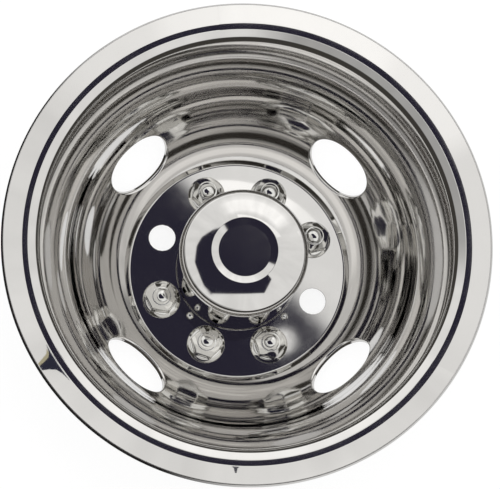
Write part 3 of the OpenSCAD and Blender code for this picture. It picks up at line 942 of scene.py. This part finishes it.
def make_card(name, points, columns, colour, lights=None):
    """A card that only reflections see, from rows of points, with a light for each if given."""
    faces = [(j, j + 1, j + columns + 1, j + columns)
        for j in range(len(points) - columns) if (j + 1) % columns]
    material = bpy.data.materials.new(name)
    material.use_nodes = True
    tree = material.node_tree
    tree.nodes.remove(tree.nodes["Principled BSDF"])
    n = Nodes(tree)
    light = n.add("ShaderNodeEmission", {"Color": (*colour, 1)})
    n.join(light.outputs[0], tree.nodes["Material Output"].inputs["Surface"])
    card = new_piece(name, points, faces, material)
    if lights:
        card.data.attributes.new("light", "FLOAT", "POINT").data.foreach_set("value", lights)
        shade = n.add("ShaderNodeAttribute", attribute_name="light")
        n.join(shade.outputs["Fac"], light.inputs["Strength"])
    for kind in ("camera", "diffuse", "transmission", "volume_scatter", "shadow"):
        setattr(card, f"visible_{kind}", False)


def make_cloth_reflection(number, piece, camera):
    azimuth, light, lift = np.array(piece, float).T
    columns = 2 + int((azimuth[-1] - azimuth[0]) / CLOTH_COLUMN)
    turns = np.linspace(azimuth[0], azimuth[-1], columns)
    lights, lifts = np.interp(turns, azimuth, light), np.interp(turns, azimuth, lift)
    points = [mirrored_place(radius, a, h, camera)
        for radius in CLOTH_SPAN for a, h in zip(turns, lifts)]
    make_card(f"painted_cloth_reflection_{number + 1}", points, columns, TENT, [*lights, *lights])


def make_lip_card(name, rows, colour, camera):
    columns = 2 + int((rows[0][2] - rows[0][1]) / CARD_COLUMN)
    points = [mirrored_place(radius, azimuth, CARD_LIFT, camera)
        for radius, low, high in rows for azimuth in np.linspace(low, high, columns)]
    make_card(name, points, columns, colour)


# The floor, in metres, and its light for the camera. Reflections see it dark towards DARK_SIDE,
# from just outside the lip on.
FLOOR_SIZE, FLOOR_DROP, FLOOR_COLOUR, FLOOR_ROUGHNESS = 6.0, 0.0002, 0.25, 0.9
FLOOR_SEEN, FLOOR_MIRRORED, FLOOR_DARK = 0.80, 0.85, 0.02
DARK_SIDE, DARK_SPAN, DARK_FROM = math.radians(149.0), (0.2, 0.55), (0.236, 0.246)


def make_floor():
    size = FLOOR_SIZE
    corners = [(-size, -size, 0), (size, -size, 0), (size, size, 0), (-size, size, 0)]
    material = bpy.data.materials.new("pale_floor")
    floor = new_piece("floor", corners, [(0, 1, 2, 3)], material)
    floor.location.z = -FLOOR_DROP
    material.use_nodes = True
    tree = material.node_tree
    n = Nodes(tree)
    shader = tree.nodes["Principled BSDF"]
    shader.inputs["Base Color"].default_value = (FLOOR_COLOUR, FLOOR_COLOUR, FLOOR_COLOUR, 1)
    shader.inputs["Roughness"].default_value = FLOOR_ROUGHNESS
    shader.inputs["Emission Color"].default_value = (1, 1, 1, 1)
    path = n.add("ShaderNodeLightPath").outputs
    seen = n.math("MULTIPLY", path["Is Camera Ray"], FLOOR_SEEN)
    n.join(seen, shader.inputs["Emission Strength"])
    place = n.add("ShaderNodeTexCoord").outputs["Object"]
    side = Vector((math.cos(DARK_SIDE), math.sin(DARK_SIDE), 0))
    leaning = n.dot(n.vector("NORMALIZE", place).outputs["Vector"], side)
    away = n.vector("LENGTH", place).outputs["Value"]
    dark = n.math("MULTIPLY", n.ramp(leaning, *DARK_SPAN), n.ramp(away, *DARK_FROM))
    mirrored = n.ramp(dark, 0, 1, FLOOR_MIRRORED, FLOOR_DARK)
    reflected = n.add("ShaderNodeEmission", {"Strength": mirrored}).outputs[0]
    both = n.add("ShaderNodeMixShader",
        {0: path["Is Glossy Ray"], 1: shader.outputs[0], 2: reflected}).outputs[0]
    n.join(both, tree.nodes["Material Output"].inputs["Surface"])


axes = photo_axes()
camera = make_camera(axes)
materials = make_materials()
liner = make_liner(materials["polished_steel"])
cap = make_cap(materials["polished_steel"])
nuts = [make_nut(i, materials["plated_cover"]) for i in range(len(NUT_AZIMUTHS))]
for piece in (liner, cap):
    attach(piece, "root")
for piece in nuts:
    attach(piece, "root")
for name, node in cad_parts.items():
    if name.startswith("cap_rivet"):
        node.data.materials.clear()
        node.data.materials.append(materials["rivet_steel"])
    elif name.startswith("cover_"):
        node.data.materials.clear()
        node.data.materials.append(materials["zinc_steel"])
make_studio(axes)
# Painted reflections: a dark seam, its edge and a clip, put into the lip by cards that only
# reflections see
for name, (rows, colour) in LIP_CARDS.items():
    make_lip_card(name, rows, colour, camera)
# Painted reflections: bright bands of cloth in the lip, from cards that only reflections see
for number, cloth in enumerate(PAINTED_CLOTH_REFLECTIONS):
    make_cloth_reflection(number, cloth, camera)
make_floor()
bpy.context.scene.view_settings.view_transform = "Standard"
